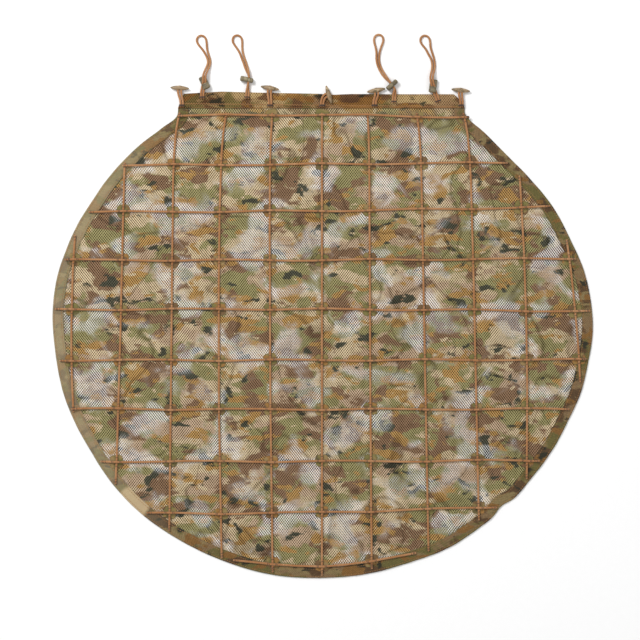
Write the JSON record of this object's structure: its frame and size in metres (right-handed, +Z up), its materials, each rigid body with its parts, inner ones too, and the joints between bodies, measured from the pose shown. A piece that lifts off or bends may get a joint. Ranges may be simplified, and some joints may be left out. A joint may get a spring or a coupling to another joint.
{
  "type": "mesh drape",
  "caption": "Round mesh drape of open net with a taped rim, a folded heading, a sewn grid of elastic cords, toggles on short loops, and adjuster loops with cord locks.",
  "frame": {"origin": "on the floor under the middle of the drape's footprint, measured without the four adjuster loops and their cord locks", "axes": "+X across the drape, along its heading; +Y towards the heading and the toggles; +Z up, out of the drape's face"},
  "size_m": [0.9992, 1.0065, 0.0144],
  "materials": {
    "net": "matt open knit with a printed blotch pattern",
    "tape": "matt woven tape with a printed blotch pattern",
    "cord": "matt braided elastic cord",
    "toggle": "matt mottled plastic",
    "lock": "matt moulded plastic"
  },
  "bodies": {
    "root": {"net_panel": "net", "heading_fold": "net", "rim_tape": "tape", "upright_cord_00": "cord", "upright_cord_01": "cord", "upright_cord_02": "cord", "upright_cord_03": "cord", "upright_cord_04": "cord", "upright_cord_05": "cord", "upright_cord_06": "cord", "upright_cord_07": "cord", "upright_cord_08": "cord", "upright_cord_09": "cord", "upright_cord_10": "cord", "level_cord_00": "cord", "level_cord_01": "cord", "level_cord_02": "cord", "level_cord_03": "cord", "level_cord_04": "cord", "level_cord_05": "cord", "level_cord_06": "cord", "level_cord_07": "cord", "level_cord_08": "cord", "level_cord_09": "cord", "toggle_loop_00": "cord", "toggle_loop_01": "cord", "toggle_loop_02": "cord", "toggle_loop_03": "cord", "toggle_loop_04": "cord", "adjuster_cord_00": "cord", "adjuster_cord_01": "cord", "adjuster_cord_02": "cord", "adjuster_cord_03": "cord", "toggle_00": "toggle", "toggle_01": "toggle", "toggle_02": "toggle", "toggle_03": "toggle", "toggle_04": "toggle", "cord_lock_00": "lock", "cord_lock_01": "lock", "cord_lock_02": "lock", "cord_lock_03": "lock"}
  },
  "joints": []
}
